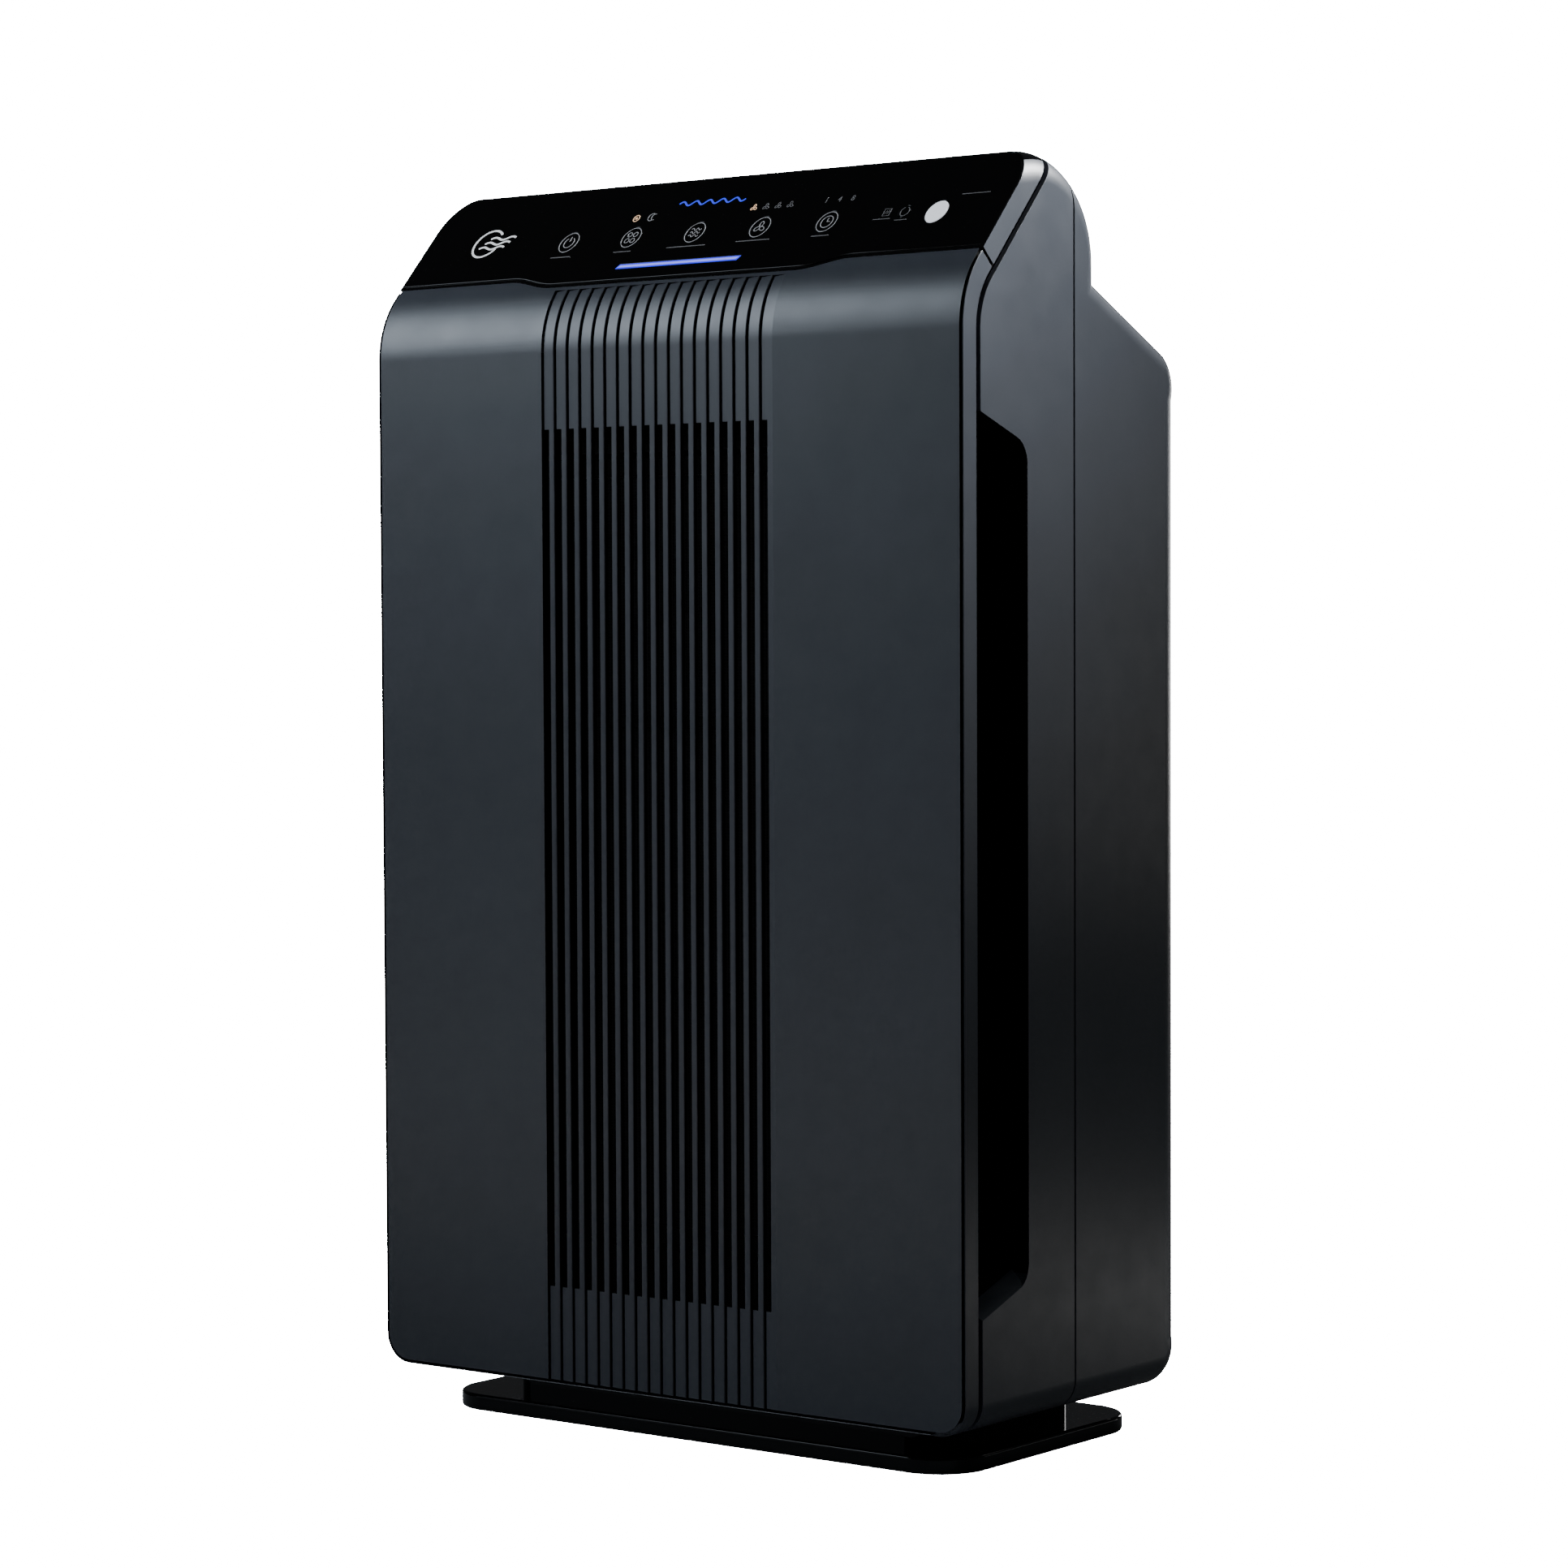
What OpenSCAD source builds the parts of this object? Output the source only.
// Tower air purifier: removable front panel, carbon pre-filter and pleated filter
// in front of a centrifugal fan that blows up and out through the rear shoulder.
// X is the width, Y the depth (front at -Y), Z is up from the floor. Millimetres.
// Inside the modules a depth d is counted backwards from the front skin.

/* [Casing] */
// Width of the casing
body_w = 366; // [360:1:376]
// Depth of the casing, front skin to rear face
body_d = 196; // [196:1:204]
// Height from the floor to the crest of the head
total_h = 628.6; // [626:0.2:640]
// Height of the casing's underside above the floor
body_z0 = 25.2; // [24:0.2:27]
// Wall thickness of the casings
wall = 2.6; // [2.2:0.1:2.8]
// Radius of the casing's top corners, seen from the front
top_corner_r = 16; // [12:1:20]
// Radius of the casing's bottom corners, seen from the front
bottom_corner_r = 15; // [12:1:18]
// Radius of the vertical and bottom rear edges
rear_r = 23; // [18:1:26]
// Depth of the seam between the front and rear casings
seam_d = 92.2; // [88:0.2:94]

/* [Head and shoulder] */
// Angle of the control slope from the horizontal
slope_angle = 47.5; // [45:0.5:50]
// Length of the control slope from its lower edge to the crest
slope_len = 65.7; // [64:0.1:67]
// Depth of the crest edge
crest_d = 62.2; // [61:0.1:63.5]
// Depth of the head's back wall
head_d = 118; // [116:1:120]
// Radius of the head's rounded back
head_r = 50; // [48:1:52]
// Radius of the bend from the front face to the slope
front_r = 50; // [45:1:55]
// Angle of the rear shoulder below the horizontal
shoulder_angle = 25.7; // [24:0.1:28]
// Height of the head's back wall above the shoulder
notch_drop = 8; // [6:1:12]
// Radius between the shoulder and the rear face
shoulder_r = 28; // [24:1:32]

/* [Front panel] */
// Depth of the front panel's side band
band_d = 11.1; // [10.5:0.1:11.5]
// Width of the shadow gap between the front panel and the casing
gap_d = 3.3; // [3:0.1:3.6]
// Thickness of the front skin
skin_t = 2.6; // [2.2:0.1:2.8]
// Number of air slots in the front skin
slot_count = 18; // [14:1:20]
// Spacing of the air slots
slot_pitch = 8.07; // [7.6:0.01:8.4]
// Part of each pitch that is open
slot_share = 0.55; // [0.45:0.01:0.6]
// Height of the slots' lower ends
slot_z0 = 74.2; // [70:0.2:80]
// Height of the slots' upper ends
slot_z1 = 502.8; // [495:0.2:506]

/* [Side intakes] */
// Depth of the side intake pocket into the casing wall
pocket_in = 22; // [18:1:23]
// Depth of the pocket's rear wall
pocket_d = 53; // [48:1:55]
// Height of the pocket's lowest point
pocket_z0 = 77.6; // [74:0.2:82]
// Height of the pocket's highest point
pocket_z1 = 504.4; // [498:0.2:508]
// Rise of each sloping end over the pocket's depth
pocket_rise = 15; // [12:1:18]

/* [Filters] */
// Width of the filters
filter_w = 300; // [290:1:300]
// Height of the filters
filter_h = 390; // [380:1:390]
// Thickness of the pleated filter
hepa_t = 33; // [28:1:33]
// Thickness of the carbon pre-filter
prefilter_t = 7; // [6:0.5:7]
// Number of pleats across the pleated filter
pleats = 44; // [30:1:50]

/* [Fan] */
// Outer radius of the impeller
impeller_r = 98; // [94:1:100]
// Number of impeller blades
blades = 36; // [24:1:40]
// Radius of the motor shaft
shaft_r = 4; // [3:0.5:5]
// Height of the fan's axis
fan_z = 293; // [288:1:296]
// Radius of the air inlet into the fan
inlet_r = 84; // [76:1:86]

/* [Controls] */
// Width of a main touch key
key_w = 11.8; // [10:0.1:13]
// Height of a main touch key, up the slope
key_h = 14.4; // [12:0.1:16]
// Place of the first main key across the slope
key_x0 = -83.7; // [-88:0.1:-80]
// Spacing of the five main keys
key_pitch = 40.7; // [38:0.1:42]
// Distance of the main keys up the slope
key_s = 25.5; // [24:0.5:27]
// Clearance around a key
key_gap = 0.25; // [0.2:0.05:0.35]
// Length of the light bar
bar_w = 78; // [70:1:84]

/* [Base] */
// Half width of the base plate
base_half_w = 162.8; // [158:0.2:166]
// Depth of the base plate's front edge
base_d0 = 18.8; // [14:0.2:22]
// Depth of the base plate's rear edge
base_d1 = 184.6; // [180:0.2:190]
// Height of the base plate's top
base_top = 9.4; // [8:0.2:11]
// Radius of the base plate's corners
base_r = 27; // [20:1:32]
// Height of the rubber feet's grip below the plate
foot_h = 1; // [0.8:0.1:1.4]

/* [Hidden] */

half_w = body_w / 2;
far = 400;              // reach of a cutting tool beyond the body
fit = 0.2;              // gap between fixed neighbours
$fn = 48;

charcoal = [0.19, 0.2, 0.22];
dark = [0.09, 0.09, 0.1];
black = [0.03, 0.03, 0.035];
board_green = [0.05, 0.3, 0.16];
steel = [0.72, 0.73, 0.75];
cream = [0.93, 0.92, 0.88];
glow_blue = [0.55, 0.65, 1];
tab_blue = [0.2, 0.35, 0.7];

// Corner points of the side profile
head_c = [head_d - head_r, total_h - head_r];
crest = [crest_d, head_c.y + sqrt(pow(head_r, 2) - pow(crest_d - head_c.x, 2))];
slope_dir = [cos(slope_angle), sin(slope_angle)];
slope_foot = crest - slope_len * slope_dir;
bend = 90 - slope_angle;
front_c = [front_r, crest.y + ((front_r - crest_d) * sin(slope_angle) - front_r) / cos(slope_angle)];
notch = [head_d, head_c.y - notch_drop];
shoulder_c = [body_d - shoulder_r, notch.y
    - ((body_d - shoulder_r - head_d) * sin(shoulder_angle) + shoulder_r) / cos(shoulder_angle)];
shoulder_len = (body_d - shoulder_r * 0.6 - head_d) / cos(shoulder_angle);

// Filter stack and fan depths, from front to back
filter_z = [fan_z - filter_h / 2, fan_z + filter_h / 2];
bay_play = 2.5;         // free space around the filters in their bay
bay_wall = 2;
bay_w = filter_w + 2 * bay_play;
bay_z = filter_z + [-bay_play, bay_play];
prefilter_d = 18.4;
hepa_d = prefilter_d + prefilter_t + 1.6;
gasket_t = 3.4;
bay_back_d = hepa_d + hepa_t + gasket_t + 0.6;
scroll_d = [72, 146];   // front and back of the fan casing
scroll_t = 2;
scroll_r = [impeller_r + 14, impeller_r + 64];
scroll_top = 150;       // height of the fan casing's outlet above the axis
tongue_a = 62;          // where the spiral starts, above the horizontal
blade_d = [80, 134];
plate_d = [scroll_d[1] + fit, scroll_d[1] + fit + scroll_t];
mount_d = [plate_d[1] + fit, plate_d[1] + fit + 2.6];
motor_d = [mount_d[1] + fit, 186];
motor_r = 46;
motor_nose_r = 18;
screw_ring_r = 54;
shaft_d0 = 102;

// Front panel's pegs, their catches and the safety switch
flange_d = [band_d + gap_d + 0.8, band_d + gap_d + 2.8];
flange_top = 545;       // above this the head's tongue closes the gap
catch_at = [for (x = [7 - half_w, half_w - 7], z = [52, 525]) [x, z]];
peg_r = 2.5;
plunger_at = [150, 525];
plunger_r = 2.5;

// Rear and side details, as (width, height) or (depth, height)
gland_at = [-130, 66];
gland_r = 8.8;
gland_bore_r = 3.7;
sensor_at = [150, 440];
sensor_half = [17, 12];
handle_at = [0, 457];
handle_half = [62, 21];
handle_deep = 27;
handle_wall = 3;
rear_screws = [for (x = [-150, 150], z = [82, 290, 488]) [x, z]];
outlet_half_w = 148;
outlet_edge = 9;        // shoulder left at the top and bottom of the outlet
outlet_rim = 4;
louvres = 8;

// Control slope: places as (across, up), sizes as (width, height)
main_size = [key_w, key_h];
main_at = [for (i = [0 : 4]) [key_x0 + i * key_pitch, key_s]];
reset_at = [124, 28.3];
reset_size = [6.4, 7.8];
lens_at = [143.3, 26.5];
lens_size = [11.8, 14.8];
bar_at = [-2, 4.4];
bar_h = 2.8;
overlay_top = slope_len - 0.7;
overlay_t = 2;
overlay_r = 18;
pipe_r = 1.5;
indicators = concat(
    [for (x = [main_at[1].x - 4.4, main_at[1].x + 5.4]) [x, 39.8]],
    [[-3, 47.6]],
    [for (i = [0 : 3]) [main_at[3].x - 11.4 + 7.5 * i, 40.4]],
    [for (i = [-1 : 1]) [main_at[4].x + 8 * i, 41.2]],
    [[113.3, 28.8]]);
wave_x = [80, 104];     // where the slope's lower edge steps up, either side
wave_s = [-6.8, -0.9];  // the lower edge in the middle and at the sides

// Base, and the power board inside the casing's foot
neck_half_w = 132;
neck_d = [40, 171];
neck_r = 14;
foot_r = 11;
board_lo = [-150, 96];
board_hi = [40, 170];
board_z = 42;
board_t = 1.6;

// ---- shared functions ----
function arc(c, r, a0, a1, n = 8) =
    [for (i = [0 : n]) let (a = a0 + (a1 - a0) * i / n) c + r * [cos(a), sin(a)]];
function ellipse_points(size, grow = 0, n = 40) =
    [for (i = [0 : n - 1]) let (a = 360 * i / n)
        [(size.x / 2 + grow) * cos(a), (size.y / 2 + grow) * sin(a)]];
// Angle on the head's arc where the slope, both inset by t, meets it
function crest_angle(t) = slope_angle + 90
    - acos((-t - (head_c - crest) * [-sin(slope_angle), cos(slope_angle)]) / (head_r - t));
// Side outline of the casing as (depth, height), inset by t
function side_profile(t) = concat(
    [[t, body_z0 + t]],
    arc(front_c, front_r - t, 180, 180 - bend),
    arc(head_c, head_r - t, crest_angle(t), 0, 12),
    [[head_d - t, notch.y - t * (1 - sin(shoulder_angle)) / cos(shoulder_angle)]],
    arc(shoulder_c, shoulder_r - t, 90 - shoulder_angle, 0),
    arc([body_d - rear_r, body_z0 + rear_r], rear_r - t, 0, -90));
// Everything in front of the profile inset by t
function front_zone(t) = concat(
    [[-far, -far], [t, -far]],
    arc(front_c, front_r - t, 180, 180 - bend),
    [front_c + (front_r - t) * [-sin(slope_angle), cos(slope_angle)] + far * slope_dir],
    [[-far, far + total_h]]);
// Front outline of the casing as (width, height), inset by t
function front_outline(t) = let (x = half_w - t, rt = top_corner_r - t, rb = bottom_corner_r - t) concat(
    arc([x - rt, total_h - t - rt], rt, 0, 90),
    arc([rt - x, total_h - t - rt], rt, 90, 180),
    arc([rb - x, body_z0 + t + rb], rb, 180, 270),
    arc([x - rb, body_z0 + t + rb], rb, 270, 360));
// Plan outline of the casing as (width, depth), inset by t
function plan_outline(t) = let (x = half_w - t, r = rear_r - t) concat(
    [[-x, -1], [x, -1]],
    arc([x - r, body_d - rear_r], r, 0, 90),
    arc([r - x, body_d - rear_r], r, 90, 180));
// Lower edge of the control slope, from left to right, raised by g
function wave(g) = let (n = 8, edge = half_w + 5) concat(
    [[-edge, wave_s[1] + g]],
    [for (i = [0 : n]) let (k = i / n) [-wave_x[1] + (wave_x[1] - wave_x[0]) * k,
        wave_s[1] + (wave_s[0] - wave_s[1]) * (1 - cos(180 * k)) / 2 + g]],
    [for (i = [0 : n]) let (k = i / n) [wave_x[0] + (wave_x[1] - wave_x[0]) * k,
        wave_s[0] + (wave_s[1] - wave_s[0]) * (1 - cos(180 * k)) / 2 + g]],
    [[edge, wave_s[1] + g]]);
// Spiral of the fan casing around its axis, grown by t
function spiral(t) = concat(
    [for (i = [0 : 36]) let (a = tongue_a + (360 - tongue_a) * i / 36)
        (scroll_r[0] + (scroll_r[1] - scroll_r[0]) * i / 36 + t) * [cos(a), sin(a)]],
    [[scroll_r[1] + t, scroll_top], [scroll_r[0] * cos(tongue_a) - t, scroll_top]]);
// Outline of a side intake pocket as (depth, height), grown by g
function pocket_outline(g) = let (
        r = 9 + g,
        top = pocket_z1 + g,
        bot = pocket_z0 - g,
        back = pocket_d + g,
        rise = pocket_rise + 3) concat(
    [[-far / 4, bot - 7], [11, bot]],
    [[back - r, bot + pocket_rise - 3]],
    arc([back - r, bot + rise + r], r, -60, 0, 5),
    arc([back - r, top - rise - r], r, 0, 60, 5),
    [[back - r, top - pocket_rise + 3], [11, top], [-far / 4, top + 7]]);

// ---- shared modules ----
module place() translate([0, -body_d / 2, 0]) children();
module along_x(w) rotate([90, 0, 90]) linear_extrude(w, center = true) children();
module along_y(d0, d1) translate([0, d1, 0]) rotate([90, 0, 0]) linear_extrude(d1 - d0) children();
module envelope(t) intersection() {
    along_x(body_w + 2) polygon(side_profile(t));
    along_y(-1, body_d + 1) polygon(front_outline(t));
    linear_extrude(total_h + 10) polygon(plan_outline(t));
}
module zone(t) along_x(body_w + 20) polygon(front_zone(t));
// Local axes on the control slope: X across, Y up the slope, Z out of it
module on_slope() translate([0, slope_foot.x, slope_foot.y]) rotate([slope_angle, 0, 0]) children();
// Local axes on the rear shoulder: X across, Y down the shoulder, Z out of it
module on_shoulder() translate([0, notch.x, notch.y]) rotate([-shoulder_angle, 0, 0]) children();
module above_wave(g, n0 = -40, n1 = 40) on_slope() translate([0, 0, n0]) linear_extrude(n1 - n0)
    polygon(concat(wave(g), [[half_w + 5, far], [-half_w - 5, far]]));
module box(lo, hi) translate(lo) cube(hi - lo);
module tube_y(at, r, d0, d1) translate([at.x, d0, at.y]) rotate([-90, 0, 0]) cylinder(r = r, h = d1 - d0);
module ellipse_plate(at, size, grow, n0, n1) translate([at.x, at.y, n0]) linear_extrude(n1 - n0)
    polygon(ellipse_points(size, grow));
module mirrored() for (m = [0, 1]) mirror([m, 0, 0]) children();
module rounded_plate(half, d, r, n) polygon(concat(
    arc([half - r, d[1] - r], r, 0, 90, n),
    arc([r - half, d[1] - r], r, 90, 180, n),
    arc([r - half, d[0] + r], r, 180, 270, n),
    arc([half - r, d[0] + r], r, 270, 360, n)));
module frame_box(w, z0, z1, d0, d1, rim) difference() {
    box([-w / 2, d0, z0], [w / 2, d1, z1]);
    box([-w / 2 + rim, d0 - 1, z0 + rim], [w / 2 - rim, d1 + 1, z1 - rim]);
}

// ---- base ----
module foot_places() for (x = [base_r - base_half_w, base_half_w - base_r])
    for (d = [base_d0 + base_r, base_d1 - base_r]) translate([x, d, 0]) children();
module base_plate() color(black) place() difference() {
    translate([0, 0, foot_h]) linear_extrude(base_top - foot_h)
        rounded_plate(base_half_w, [base_d0, base_d1], base_r, 14);
    foot_places() translate([0, 0, -1]) cylinder(r = foot_r + fit, h = foot_h + 2);
}
module base_neck() color(black) place() translate([0, 0, base_top]) linear_extrude(body_z0 - base_top)
    rounded_plate(neck_half_w, neck_d, neck_r, 8);
module rubber_feet() color(dark) place() foot_places() cylinder(r = foot_r, h = foot_h + 1 - fit);

// ---- casings ----
module pocket(g, inner) mirrored() translate([half_w - inner, 0, 0])
    rotate([90, 0, 90]) linear_extrude(inner + 5) polygon(pocket_outline(g));
// Sloping sill along the bottom of a side intake
module pocket_sill() mirrored() translate([half_w, 10, pocket_z0])
    rotate([atan2(pocket_rise - 3, pocket_d - 20), 0, 0]) rotate([-90, 0, 0]) linear_extrude(50)
    polygon([[1, 4], [1, 0.5], [-9.5, -4.7], [-pocket_in - 1, -4.7], [-pocket_in - 1, 4]]);
module shell(t0, t1) difference() {
    envelope(t0);
    envelope(t1);
}
// Inner tongue that closes the gap around the head from behind
module head_tongue() {
    t_out = 3.7;
    t_in = 5.2;
    d_end = band_d + gap_d + 5;
    intersection() {
        union() {
            difference() {
                shell(t_out, t_in);
                zone(band_d + 0.3);
            }
            difference() {
                shell(wall - fit, t_in);
                zone(band_d + gap_d);
            }
        }
        zone(d_end);
        box([-far, 0, flange_top + fit], [far, far, 2 * far]);
    }
}
module front_housing() color(charcoal) place() {
    difference() {
        union() {
            shell(0, wall);
            intersection() {
                envelope(0);
                pocket(2, pocket_in + 2);
            }
        }
        zone(band_d + gap_d);
        box([-far, seam_d, -1], [far, far, 2 * far]);
        difference() {
            pocket(0, pocket_in);
            pocket_sill();
        }
    }
    head_tongue();
}
module rear_housing() color(charcoal) place() difference() {
    union() {
        shell(0, wall);
        for (p = rear_screws) tube_y(p, 7, body_d - 18, body_d - wall + 0.5);
    }
    box([-far, -far, -1], [far, seam_d + fit, 2 * far]);
    on_shoulder() outlet_opening(0);
    handle_box(handle_half, 20, -1);
    for (p = rear_screws) {
        tube_y(p, 4.6, body_d - 12, body_d + 1);
        tube_y(p, 2.2, body_d - 19, body_d + 1);
    }
    tube_y(gland_at, gland_r + fit, body_d - 10, body_d + 1);
    sensor_opening(0);
}
module outlet_opening(g) box([-outlet_half_w + g, outlet_edge + g, -30],
    [outlet_half_w - g, shoulder_len - outlet_edge - g, 10]);
// Block around the handle, from deep to shallow behind the rear face
module handle_box(half, deep, shallow) box([handle_at.x - half.x, body_d - deep, handle_at.y - half.y],
    [handle_at.x + half.x, body_d - shallow, handle_at.y + half.y]);
module sensor_opening(g) box([-half_w - 1, sensor_at.x - sensor_half.x + g, sensor_at.y - sensor_half.y + g],
    [-half_w + 6, sensor_at.x + sensor_half.x - g, sensor_at.y + sensor_half.y - g]);
module outlet_grille() color(dark) place() on_shoulder() {
    free_half = outlet_half_w - outlet_rim;
    free_s = [outlet_edge + outlet_rim, shoulder_len - outlet_edge - outlet_rim];
    louvre_pitch = (free_s[1] - free_s[0]) / louvres;
    difference() {
        intersection() {
            outlet_opening(fit);
            box([-far, -far, -8], [far, far, -0.4]);
        }
        box([-free_half, free_s[0], -40], [free_half, free_s[1], 20]);
    }
    for (i = [0 : louvres - 1])
        translate([-free_half - fit, free_s[0] + louvre_pitch * (i + 0.5), -4.2]) rotate([30, 0, 0])
            translate([0, -0.9, -3.4]) cube([2 * free_half + 2 * fit, 1.8, 6.8]);
    for (x = [-96 : 48 : 96]) box([x - 1, free_s[0] - fit, -7.6], [x + 1, free_s[1] + fit, -6]);
}
module handle_cup() color(dark) place() difference() {
    handle_box(handle_half - [fit, fit], handle_deep, 0.4);
    handle_box(handle_half - [handle_wall, handle_wall], handle_deep - handle_wall, -1);
}
module housing_screws() color(steel) place() for (p = rear_screws) {
    tube_y(p, 4, body_d - 11.8, body_d - 9);
    tube_y(p, 2, body_d - 26, body_d - 11.8);
}
module cord_gland() color(black) place() difference() {
    union() {
        tube_y(gland_at, gland_r, body_d - 2.6, body_d - 0.4);
        tube_y(gland_at, 6.5, body_d - 18, body_d - 2.6);
    }
    tube_y(gland_at, gland_bore_r, body_d - 19, body_d + 1);
}
module sensor_cover() color(dark) place() difference() {
    sensor_opening(fit);
    box([-far, -far, -1], [-half_w + 0.4, far, 2 * far]);
    sensor_box([-half_w + 2.6, -half_w + 10], sensor_at.x, sensor_half - [2, 2]);
    for (i = [-2 : 2]) sensor_box([-half_w - 2, -half_w + 4], sensor_at.x + i * 5, [1.2, 8]);
}
module sensor_box(x, d, half) box([x[0], d - half.x, sensor_at.y - half.y],
    [x[1], d + half.x, sensor_at.y + half.y]);
module odour_sensor() color(steel) place()
    translate([-half_w + 7, sensor_at.x, sensor_at.y]) rotate([0, 90, 0]) {
    cylinder(r = 6, h = 9);
    translate([-11, -14, 9]) cube([22, 28, 1.6]);
}

// ---- filter bay and fan ----
module filter_bay() color(dark) place() difference() {
    union() {
        difference() {
            bay_box(bay_wall, flange_d[0], bay_back_d + 2.4);
            bay_box(0, -1, bay_back_d);
        }
        difference() {
            intersection() {
                along_y(flange_d[0], flange_d[1]) polygon(front_outline(wall + 0.3));
                box([-far, 0, 0], [far, 60, flange_top]);
            }
            bay_box(bay_wall / 2, -1, far);
            mirrored() box([bay_w / 2 + bay_wall, -1, pocket_z0 - 7], [far, far, pocket_z1 + 7]);
        }
    }
    tube_y([0, fan_z], inlet_r + 8, bay_back_d - 1, bay_back_d + 5);
    for (p = catch_at) tube_y(p, peg_r + 0.8, 0, 40);
    tube_y(plunger_at, plunger_r + 0.4, 0, 40);
}
module bay_box(t, d0, d1) box([-bay_w / 2 - t, d0, bay_z[0] - t], [bay_w / 2 + t, d1, bay_z[1] + t]);
module panel_catches() color(dark) place() for (p = catch_at) difference() {
    box([p.x - 4, flange_d[1] + fit, p.y - 5], [p.x + 4, flange_d[1] + 10, p.y + 5]);
    tube_y(p, peg_r + 0.3, 0, flange_d[1] + 8);
}
module interlock_switch() color(black) place() difference() {
    box([plunger_at.x - 9, flange_d[1] + fit, plunger_at.y - 6],
        [plunger_at.x + 9, flange_d[1] + 22, plunger_at.y + 6]);
    tube_y(plunger_at, plunger_r + 0.1, 0, flange_d[1] + 14);
}
module interlock_plunger() color(cream) place() tube_y(plunger_at, plunger_r, skin_t + 0.4, flange_d[1] + 10);
module ring_y(r_out, r_in, d0, d1) difference() {
    tube_y([0, fan_z], r_out, d0, d1);
    tube_y([0, fan_z], r_in, d0 - 1, d1 + 1);
}
module inlet_grille() color(dark) place() {
    d0 = bay_back_d + 2.6;
    ring_y(inlet_r + 14, inlet_r + 2, d0, d0 + 2);
    for (r = [inlet_r / 4 : inlet_r / 4 : inlet_r * 0.75]) ring_y(r + 1, r - 1, d0, d0 + 2);
    translate([0, d0 + 0.1, fan_z]) for (a = [0 : 45 : 315]) rotate([0, a, 0])
        box([0, 0, -1], [inlet_r + 3, 1.8, 1]);
}
module spiral_prism(t, d0, d1) translate([0, 0, fan_z]) along_y(d0, d1) polygon(spiral(t));
module fan_scroll() color(dark) place() difference() {
    spiral_prism(scroll_t, scroll_d[0], scroll_d[1]);
    difference() {
        spiral_prism(0, scroll_d[0] + scroll_t, scroll_d[1] + 1);
        box([-far, 0, fan_z + scroll_top - 1], [far, far, far * 2]);
    }
    box([scroll_r[0] * cos(tongue_a), scroll_d[0] + scroll_t, fan_z + scroll_top - 2],
        [scroll_r[1], scroll_d[1] + 1, fan_z + scroll_top + scroll_t]);
    tube_y([0, fan_z], inlet_r, scroll_d[0] - 1, scroll_d[0] + scroll_t + 1);
}
module scroll_back_plate() color(dark) place() difference() {
    spiral_prism(scroll_t, plate_d[0], plate_d[1]);
    tube_y([0, fan_z], 40, plate_d[0] - 1, plate_d[1] + 1);
    motor_screw_places() cylinder(r = 2.3, h = 30);
}
module motor_screw_places() for (a = [45 : 90 : 315])
    translate([screw_ring_r * cos(a), scroll_d[1] - 5, fan_z + screw_ring_r * sin(a)])
        rotate([-90, 0, 0]) children();
module motor_mount() color(steel) place() difference() {
    ring_y(screw_ring_r + 8, motor_nose_r + 2, mount_d[0], mount_d[1]);
    motor_screw_places() cylinder(r = 2.3, h = 30);
}
module motor_screws() color(steel) place() motor_screw_places() {
    translate([0, 0, 2.8]) cylinder(r = 4, h = 2.2);
    translate([0, 0, 5]) cylinder(r = 2, h = 8);
}
module motor() color(steel) place() difference() {
    union() {
        tube_y([0, fan_z], motor_r, motor_d[0], motor_d[1]);
        tube_y([0, fan_z], motor_nose_r, scroll_d[1] + 1, motor_d[0] + 0.5);
    }
    tube_y([0, fan_z], shaft_r + 0.05, scroll_d[1], motor_d[1] - 8);
}
module motor_shaft() color(steel) place() tube_y([0, fan_z], shaft_r, shaft_d0, motor_d[1] - 10);
module hub_nut() color(steel) place() difference() {
    translate([0, shaft_d0 + 3, fan_z]) rotate([-90, 0, 0]) cylinder(r = shaft_r * 2, h = 6, $fn = 6);
    tube_y([0, fan_z], shaft_r + 0.02, shaft_d0, shaft_d0 + 12);
}
module impeller() color(black) place() {
    difference() {
        union() {
            tube_y([0, fan_z], impeller_r, blade_d[1], blade_d[1] + 2);
            tube_y([0, fan_z], shaft_r + 11, shaft_d0 + 9.5, blade_d[1] + 0.5);
        }
        tube_y([0, fan_z], shaft_r + 0.02, 0, far);
    }
    ring_y(impeller_r, impeller_r - 6, blade_d[0] - 2.5, blade_d[0]);
    translate([0, 0, fan_z]) along_y(blade_d[0] - 0.5, blade_d[1] + 0.5) for (i = [0 : blades - 1])
        rotate(360 * i / blades) polygon(blade_outline());
}
// One forward-curved blade between the impeller's inner and outer radius
function blade_side(a0, order) = let (r0 = impeller_r - 19, r1 = impeller_r - 0.6)
    [for (k = order) let (a = a0 + 7 * k * k) (r0 + (r1 - r0) * k) * [cos(a), sin(a)]];
function blade_outline() = concat(blade_side(0, [0 : 0.25 : 1]), blade_side(0.8, [1 : -0.25 : 0]));
module duct_shape(t) hull() {
    box([scroll_r[0] * cos(tongue_a) - t, scroll_d[0] + 2 - t, fan_z + scroll_top + fit],
        [scroll_r[1] + t, scroll_d[1] + t, fan_z + scroll_top + fit + 0.1]);
    on_shoulder() box([-143 - t, outlet_edge + 5 - t, -9.7],
        [143 + t, shoulder_len - outlet_edge - 5 + t, -9.6]);
}
module outlet_duct() color(dark) place() difference() {
    duct_shape(2);
    duct_shape(0);
}
module ioniser_unit() color(cream) place() box([-34, 70, 497], [34, 88, 519]);
module ioniser_needles() color(steel) place() for (x = [-22, 22]) tube_y([x, 508], 1.2, 88 + fit, 95);

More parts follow.
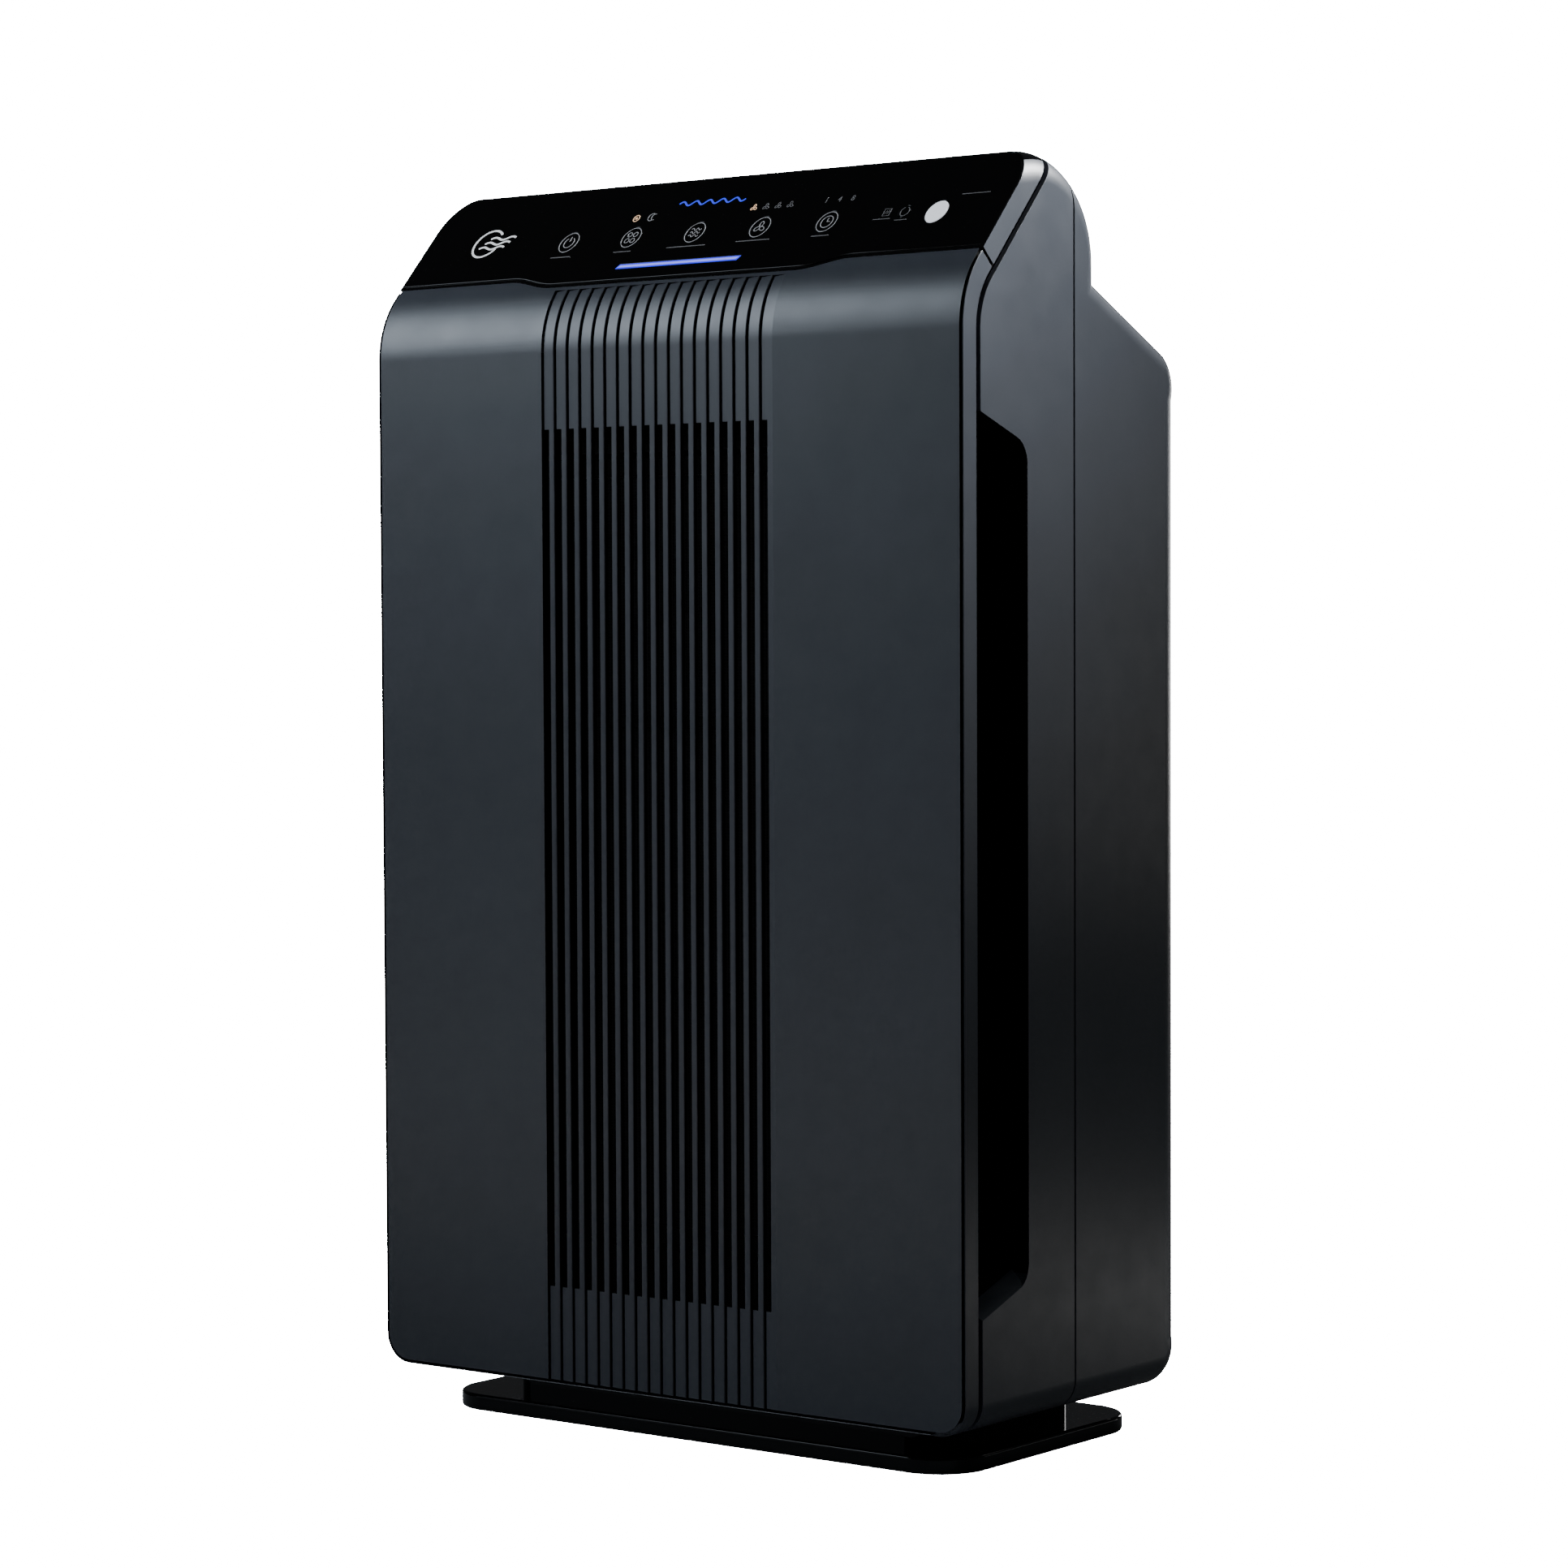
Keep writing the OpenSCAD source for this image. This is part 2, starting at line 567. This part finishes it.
// ---- control head ----
function overlay_outline() = let (x = half_w - 0.4, r = overlay_r, w = wave(0)) concat(
    [[-x, wave_s[1]]], [for (i = [1 : len(w) - 2]) w[i]], [[x, wave_s[1]]],
    arc([x - r, overlay_top - r], r, 0, 90), arc([r - x, overlay_top - r], r, 90, 180));
module bar_box(g, n0, n1) box([bar_at.x - bar_w / 2 - g, bar_at.y - bar_h / 2 - g, n0],
    [bar_at.x + bar_w / 2 + g, bar_at.y + bar_h / 2 + g, n1]);
module key_holes(n0, n1) {
    for (p = main_at) ellipse_plate(p, main_size, key_gap, n0, n1);
    ellipse_plate(reset_at, reset_size, key_gap, n0, n1);
    ellipse_plate(lens_at, lens_size, fit, n0, n1);
    bar_box(fit, n0, n1);
}
module control_overlay() color(black) place() on_slope() difference() {
    translate([0, 0, -overlay_t]) linear_extrude(overlay_t) polygon(overlay_outline());
    key_holes(-overlay_t - 1, 1);
}
module control_bezel() color(charcoal) place() difference() {
    intersection() {
        envelope(0);
        zone(band_d);
        above_wave(-0.15);
    }
    on_slope() translate([0, 0, -overlay_t - 0.1]) linear_extrude(5) polygon(overlay_outline());
    intersection() {
        envelope(wall);
        above_wave(2.4, -30, -4.6);
    }
    on_slope() key_holes(-6, 1);
    for (p = indicators) on_slope() translate([p.x, p.y, -6]) cylinder(r = pipe_r + fit, h = 6);
}
module key(at, size) color(black) place() on_slope() {
    ellipse_plate(at, size, 0, -4.2, 0.1);
    translate([at.x, at.y, -5]) cylinder(r = 2, h = 1);
}
module power_key() key(main_at[0], main_size);
module mode_key() key(main_at[1], main_size);
module ioniser_key() key(main_at[2], main_size);
module fan_speed_key() key(main_at[3], main_size);
module timer_key() key(main_at[4], main_size);
module reset_key() key(reset_at, reset_size);
module light_bar() color(glow_blue) place() on_slope() bar_box(0, -5, 0.05);
module air_quality_lens() color("white") place() on_slope() ellipse_plate(lens_at, lens_size, 0, -5, 0.05);
module light_pipes() color(glow_blue) place() on_slope()
    for (p = indicators) translate([p.x, p.y, -6.6]) cylinder(r = pipe_r, h = 4.4);
module display_board() color(board_green) place() on_slope() box([-168, 3, -8.4], [168, 56, -6.8]);
module tact_switches() color(steel) place() on_slope() for (p = concat(main_at, [reset_at]))
    translate([p.x, p.y, -6.7]) {
        translate([-2.5, -2.5, 0]) cube([5, 5, 0.7]);
        cylinder(r = 1.2, h = 1);
    }

// ---- electronics ----
module power_board() color(board_green) place()
    box([board_lo.x, board_lo.y, board_z], [board_hi.x, board_hi.y, board_z + board_t]);
module board_posts() color(charcoal) place()
    for (x = [board_lo.x + 6, board_hi.x - 6], d = [board_lo.y + 6, board_hi.y - 6])
        translate([x, d, body_z0 + wall + fit]) cylinder(r = 3.5, h = board_z - fit * 2 - body_z0 - wall);
// Transformer, two capacitors, heat sink, two relays and the terminal block
module board_parts() color(dark) place() translate([0, 0, board_z + board_t + fit]) {
    box([-60, 108, 0], [-22, 140, 30]);
    for (x = [-90, -112]) translate([x, 124, 0]) cylinder(r = 8, h = 24);
    box([-10, 104, 0], [-6, 150, 26]);
    for (d = [110, 136]) box([8, d, 0], [30, d + 14, 10]);
    box([-140, 106, 0], [-126, 120, 11]);
}

// ---- front panel ----
slot_w = slot_pitch * slot_share;
slot_x0 = -slot_count * slot_pitch / 2;
groove_w = 0.9;
groove_deep = 1.2;
edge_line = 1.1;        // where the skin ends, inside the frame's edge
band_t = 3.4;           // thickness of the frame's side band
module below_wave() difference() {
    children();
    above_wave(-0.65);
}
// Open slots, each with a thin groove that carries on above and below it
module front_skin() color(charcoal) place() below_wave() difference() {
    intersection() {
        envelope(0);
        zone(skin_t);
        along_y(-1, 40) polygon(front_outline(edge_line));
    }
    for (i = [0 : slot_count - 1]) {
        x = slot_x0 + i * slot_pitch;
        box([x, -1, slot_z0], [x + slot_w, skin_t + 1, slot_z1]);
        intersection() {
            zone(groove_deep);
            box([x, -1, 0], [x + groove_w, 60, far * 2]);
        }
    }
}
module panel_frame() color(charcoal) place() {
    below_wave() difference() {
        intersection() {
            envelope(0);
            zone(band_d);
        }
        zone(0.5);
        intersection() {
            zone(skin_t + fit);
            along_y(-1, 60) polygon(front_outline(edge_line - fit));
        }
        along_y(-1, 60) polygon(front_outline(10));
        difference() {
            along_y(-1, 60) polygon(front_outline(band_t));
            zone(skin_t + 2.6);
        }
    }
    on_slope() box([band_t - 0.4 - half_w, -16, -9.4], [half_w - band_t + 0.4, -11, -6]);
    for (p = catch_at) tube_y(p, peg_r, skin_t + 2, flange_d[1] + 6);
}

// ---- filters ----
prefilter_rim = 9;
hepa_rim = 5;
// Block inside a filter's rim, with a thin gap all round
module filter_core(rim, d0, d1) box([rim + fit - filter_w / 2, d0, filter_z[0] + rim + fit],
    [filter_w / 2 - rim - fit, d1, filter_z[1] - rim - fit]);
module prefilter_frame() color(dark) place() {
    frame_box(filter_w, filter_z[0], filter_z[1], prefilter_d, prefilter_d + prefilter_t, prefilter_rim);
    for (z = [-65, 65]) intersection() {
        filter_core(prefilter_rim, prefilter_d, prefilter_d + 2);
        box([-far, 0, fan_z + z - 3], [far, far, fan_z + z + 3]);
    }
}
module prefilter_mesh() color(dark) place() filter_core(prefilter_rim, prefilter_d + 2.2, prefilter_d + 2.8);
module carbon_media() color(black) place()
    filter_core(prefilter_rim, prefilter_d + 3, prefilter_d + prefilter_t - 0.4);
module hepa_frame() color(cream) place()
    frame_box(filter_w, filter_z[0], filter_z[1], hepa_d, hepa_d + hepa_t, hepa_rim);
module hepa_media() color(cream) place() {
    w = filter_w - 2 * hepa_rim - 3 * fit;
    folds = 2 * pleats;
    front = [for (i = [0 : folds]) [w * (i / folds - 0.5), hepa_d + (i % 2 == 0 ? hepa_t - 2.4 : 2)]];
    translate([0, 0, filter_z[0] + hepa_rim + fit]) linear_extrude(filter_h - 2 * hepa_rim - 2 * fit)
        polygon(concat(front, [for (i = [folds : -1 : 0]) front[i] + [0, 1]]));
}
module hepa_gasket() color(black) place() let (d0 = hepa_d + hepa_t)
    frame_box(filter_w - fit, filter_z[0] + fit, filter_z[1] - fit, d0 + fit, d0 + gasket_t, 8);
module hepa_pull_tabs() color(tab_blue) place() for (x = [-90, 90])
    box([x - 9, hepa_d - 1.2, filter_z[1] - 44], [x + 9, hepa_d - fit, filter_z[1] - 0.5]);

base_plate();
base_neck();
rubber_feet();
front_housing();
rear_housing();
filter_bay();
panel_catches();
inlet_grille();
fan_scroll();
scroll_back_plate();
motor_mount();
motor_screws();
motor();
outlet_duct();
outlet_grille();
ioniser_unit();
ioniser_needles();
handle_cup();
control_bezel();
control_overlay();
light_bar();
air_quality_lens();
light_pipes();
display_board();
tact_switches();
interlock_switch();
power_board();
board_parts();
board_posts();
cord_gland();
housing_screws();
odour_sensor();
sensor_cover();
front_skin();
panel_frame();
prefilter_frame();
prefilter_mesh();
carbon_media();
hepa_frame();
hepa_media();
hepa_gasket();
hepa_pull_tabs();
impeller();
motor_shaft();
hub_nut();
power_key();
mode_key();
ioniser_key();
fan_speed_key();
timer_key();
reset_key();
interlock_plunger();
